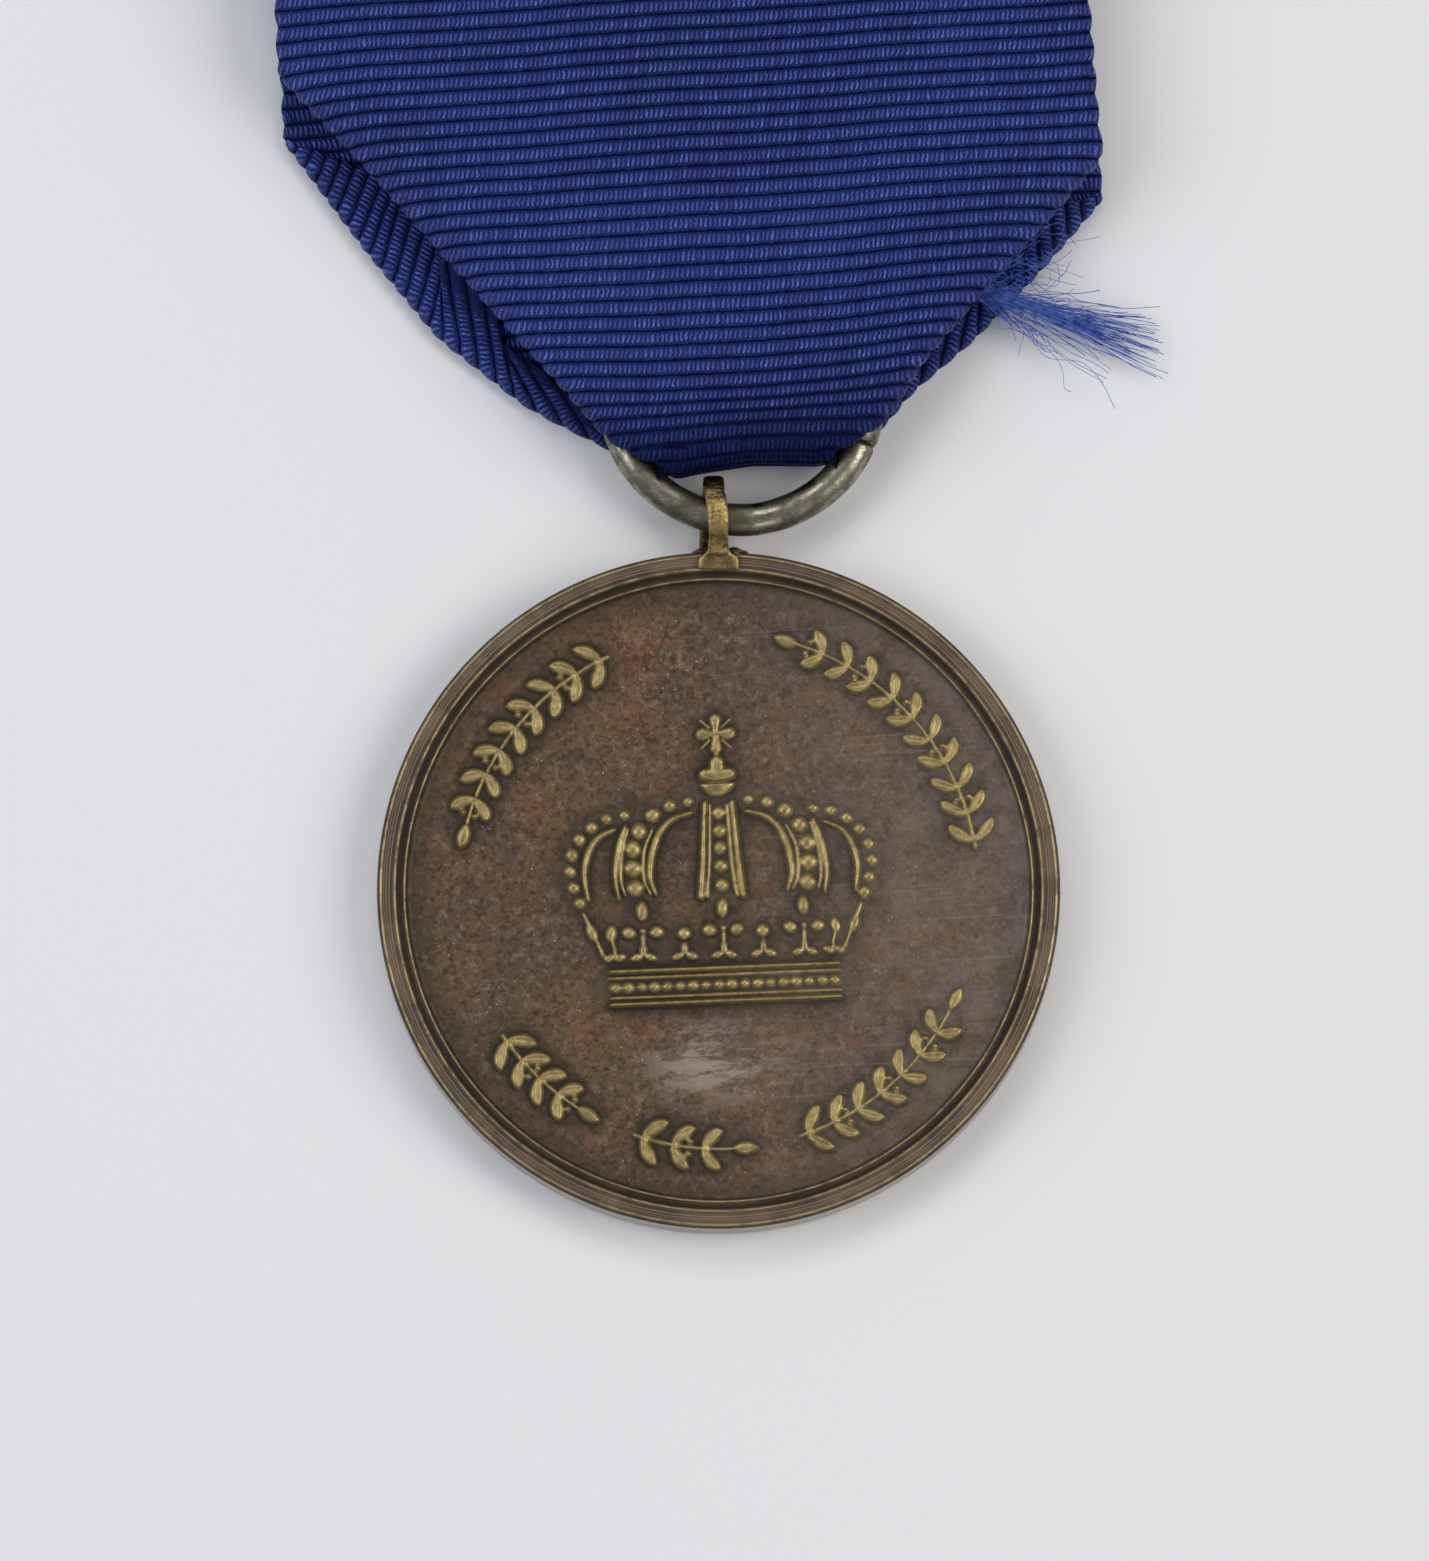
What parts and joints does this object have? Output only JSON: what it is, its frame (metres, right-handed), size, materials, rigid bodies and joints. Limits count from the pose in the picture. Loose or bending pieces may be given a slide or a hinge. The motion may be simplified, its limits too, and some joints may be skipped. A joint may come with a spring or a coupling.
{
  "type": "military service medal",
  "caption": "Round struck bronze service medal on a wire ring, hung from a folded ribbed ribbon with a bar brooch and turning safety catch on its back.",
  "frame": {"origin": "centre of the footprint, on the plane that the medal's back lies on", "axes": "+X to the right across the ribbon, +Y up the ribbon from the medal to the brooch, +Z out of the medal's front"},
  "size_m": [0.036, 0.0836, 0.006],
  "materials": {
    "medal_bronze": "struck, dark brown patina, worn to brass on the high points",
    "eye_brass": "bent strip, dull with bright wear",
    "solder_tin": "matt grey tin",
    "ring_nickel": "drawn nickel-silver wire, scuffed satin",
    "ribbon_grosgrain": "ribbed royal blue ribbon with a silky sheen",
    "ribbon_yarn": "loose silky filaments",
    "bar_tinplate": "tinned sheet, satin",
    "brooch_brass": "stamped, lacquered",
    "rivet_steel": "plated, satin",
    "needle_steel": "polished spring wire",
    "catch_nickel": "nickel plated, satin",
    "sewing_thread": "twisted cotton thread"
  },
  "bodies": {
    "ribbon_mount": {"ribbon": "ribbon_grosgrain", "stiffener_bar": "bar_tinplate", "brooch_base": "brooch_brass", "hinge_rivet": "rivet_steel", "catch_housing": "brooch_brass", "brooch_stitches": "sewing_thread", "hem_stitches": "sewing_thread", "gusset_tacks": "sewing_thread", "frayed_yarn": "ribbon_yarn"},
    "ring": {"suspension_ring": "ring_nickel"},
    "medal": {"medal_disc": "medal_bronze", "suspension_eye": "eye_brass", "eye_solder": "solder_tin"},
    "needle": {"brooch_needle": "needle_steel"},
    "catch": {"catch_barrel": "catch_nickel"}
  },
  "joints": [
    {"name": "ring_slide", "type": "slide", "parent": "ribbon_mount", "child": "ring", "axis": [0, -1, 0], "range_m": [0, 0.0068]},
    {"name": "medal_swing", "type": "hinge", "parent": "ring", "child": "medal", "pos_m": [0, -0.0102, 0.00185], "axis": [0.9976, -0.0698, 0], "range_deg": [-135, 90]},
    {"name": "needle_swing", "type": "hinge", "parent": "ribbon_mount", "child": "needle", "pos_m": [0.0125, 0.0359, 0.00145], "axis": [0, -1, 0], "range_deg": [0, 110]},
    {"name": "catch_turn", "type": "hinge", "parent": "ribbon_mount", "child": "catch", "pos_m": [-0.012, 0.0359, 0.00145], "axis": [1, 0, 0], "range_deg": [0, 90]}
  ]
}
